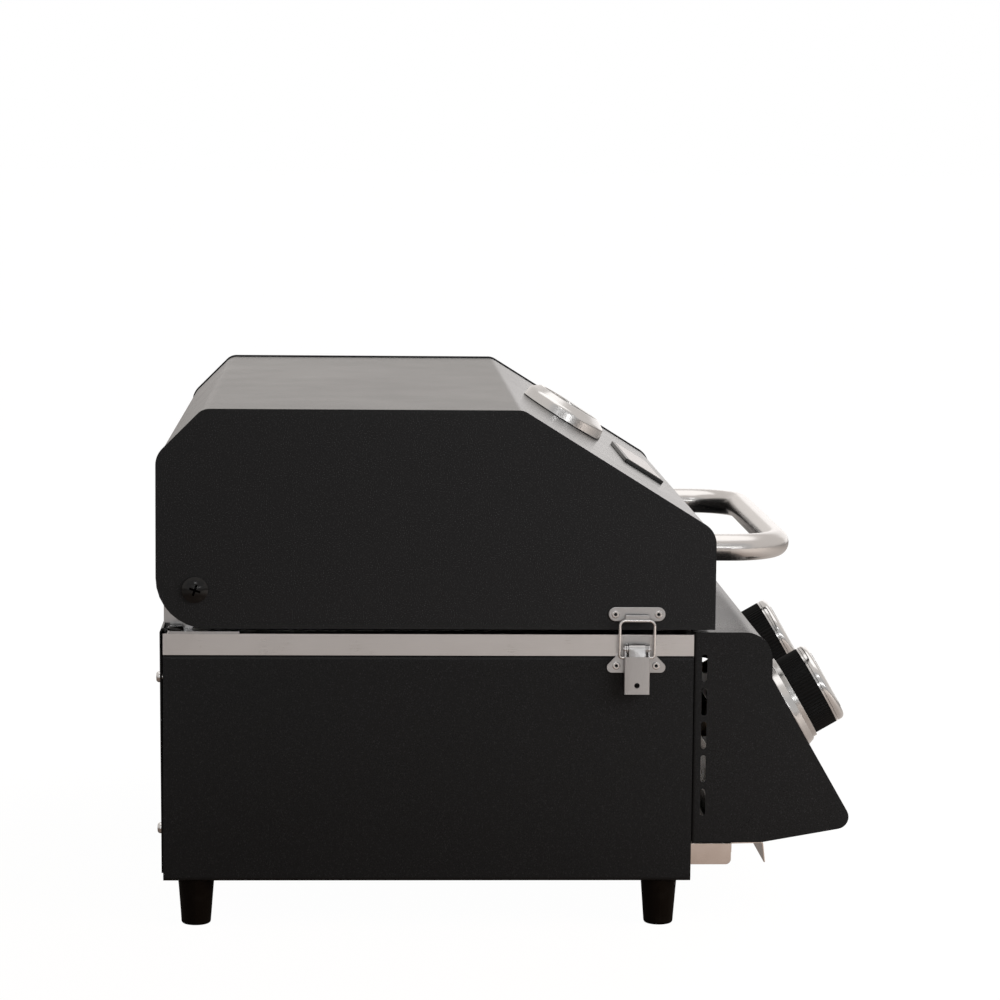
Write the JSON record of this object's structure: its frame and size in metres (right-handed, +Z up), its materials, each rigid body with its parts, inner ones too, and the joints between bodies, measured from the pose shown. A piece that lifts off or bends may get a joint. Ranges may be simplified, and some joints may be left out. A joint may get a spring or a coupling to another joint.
{
  "type": "tabletop gas grill",
  "caption": "Portable tabletop gas grill with a hinged sloping hood, draw latches, push-and-turn burner knobs, removable grates and a pull-out drip tray.",
  "frame": {"origin": "middle of the footprint on the table, at the underside of the feet", "axes": "+Z up, -Y towards the cook (control panel), +X to the cook's right"},
  "size_m": [0.5864, 0.5258, 0.3814],
  "materials": {
    "hood_paint": "fine-textured satin black",
    "panel_paint": "fine-textured satin black",
    "stainless": "brushed",
    "handle_steel": "satin polished tube",
    "tray_steel": "bright rolled",
    "chrome": "polished",
    "brass": "machined",
    "cast_iron": "matt enamel",
    "rubber": "matt",
    "knob_plastic": "ribbed matt",
    "black_screw": "black oxide",
    "dial_face": "matt white",
    "needle_red": "matt",
    "glass": "clear",
    "plate": "pale face with a black edge",
    "ceramic": "glazed"
  },
  "bodies": {
    "base": {"firebox": "stainless", "side_panel_left": "panel_paint", "side_panel_right": "panel_paint", "rear_panel": "panel_paint", "rear_panel_screws": "chrome", "floor_panel": "panel_paint", "front_panel": "panel_paint", "tray_rails": "stainless", "control_cheek_left": "panel_paint", "control_cheek_right": "panel_paint", "control_panel": "panel_paint", "knob_bezels": "chrome", "valve_body_left": "brass", "valve_body_right": "brass", "gas_manifold": "stainless", "gas_inlet": "brass", "burners": "stainless", "heat_tents": "stainless", "igniter_electrodes": "ceramic", "grate_left": "cast_iron", "grate_right": "cast_iron", "hinge_bracket_left": "stainless", "hinge_bracket_right": "stainless", "hinge_screws": "black_screw", "bracket_screws": "black_screw", "latch_plate_left": "stainless", "latch_plate_right": "stainless", "latch_plate_rivets": "stainless", "hood_bumpers": "rubber", "feet": "rubber", "foot_screws": "stainless"},
    "hood": {"hood_wrap": "hood_paint", "hood_side_left": "hood_paint", "hood_side_right": "hood_paint", "handle": "handle_steel", "handle_screws": "chrome", "gauge_case": "chrome", "gauge_dial": "dial_face", "gauge_glass": "glass", "gauge_probe": "stainless", "badge_plate": "plate", "latch_keeper_left": "stainless", "latch_keeper_right": "stainless", "keeper_rivets": "stainless"},
    "gauge_needle": {"gauge_needle": "needle_red"},
    "latch_lever_left": {"latch_lever_left": "stainless"},
    "latch_lever_right": {"latch_lever_right": "stainless"},
    "latch_bail_left": {"latch_bail_left": "stainless"},
    "latch_bail_right": {"latch_bail_right": "stainless"},
    "valve_plug_left": {"valve_plug_left": "brass"},
    "valve_plug_right": {"valve_plug_right": "brass"},
    "knob_left": {"valve_stem_left": "stainless", "knob_left": "knob_plastic", "knob_cap_left": "chrome"},
    "knob_right": {"valve_stem_right": "stainless", "knob_right": "knob_plastic", "knob_cap_right": "chrome"},
    "drip_tray": {"drip_tray": "tray_steel", "tray_pull": "tray_steel"}
  },
  "joints": [
    {"name": "hood_hinge", "type": "hinge", "parent": "base", "child": "hood", "pos_m": [0, 0.23429, 0.2499], "axis": [-1, 0, 0], "range_deg": [0, 86]},
    {"name": "gauge_needle_turn", "type": "hinge", "parent": "hood", "child": "gauge_needle", "pos_m": [0, -0.05028, 0.35618], "axis": [0, 0.527, -0.8499], "range_deg": [0, 270]},
    {"name": "latch_lever_left", "type": "hinge", "parent": "base", "child": "latch_lever_left", "pos_m": [-0.2885, -0.08691, 0.2077], "axis": [0, 1, 0], "range_deg": [0, 110]},
    {"name": "latch_bail_left", "type": "hinge", "parent": "latch_lever_left", "child": "latch_bail_left", "pos_m": [-0.2895, -0.08691, 0.2014], "axis": [0, 1, 0], "range_deg": [-137.5, 0]},
    {"name": "knob_turn_left", "type": "hinge", "parent": "base", "child": "valve_plug_left", "pos_m": [-0.1265, -0.21421, 0.13864], "axis": [0, -0.866, 0.5], "range_deg": [0, 180]},
    {"name": "knob_push_left", "type": "slide", "parent": "valve_plug_left", "child": "knob_left", "axis": [0, 0.866, -0.5], "range_m": [0, 0.003], "stiffness_N_per_m": 800, "springref_m": -0.002},
    {"name": "latch_lever_right", "type": "hinge", "parent": "base", "child": "latch_lever_right", "pos_m": [0.2885, -0.08691, 0.2077], "axis": [0, -1, 0], "range_deg": [0, 110]},
    {"name": "latch_bail_right", "type": "hinge", "parent": "latch_lever_right", "child": "latch_bail_right", "pos_m": [0.2895, -0.08691, 0.2014], "axis": [0, -1, 0], "range_deg": [-137.5, 0]},
    {"name": "knob_turn_right", "type": "hinge", "parent": "base", "child": "valve_plug_right", "pos_m": [0.1265, -0.21421, 0.13864], "axis": [0, -0.866, 0.5], "range_deg": [0, 180]},
    {"name": "knob_push_right", "type": "slide", "parent": "valve_plug_right", "child": "knob_right", "axis": [0, 0.866, -0.5], "range_m": [0, 0.003], "stiffness_N_per_m": 800, "springref_m": -0.002},
    {"name": "tray_slide", "type": "slide", "parent": "base", "child": "drip_tray", "axis": [0, -1, 0], "range_m": [0, 0.3]}
  ],
  "couplings": [
    {"joint": "latch_bail_left", "follows": "latch_lever_left", "ratio": -1.25},
    {"joint": "latch_bail_right", "follows": "latch_lever_right", "ratio": -1.25}
  ]
}
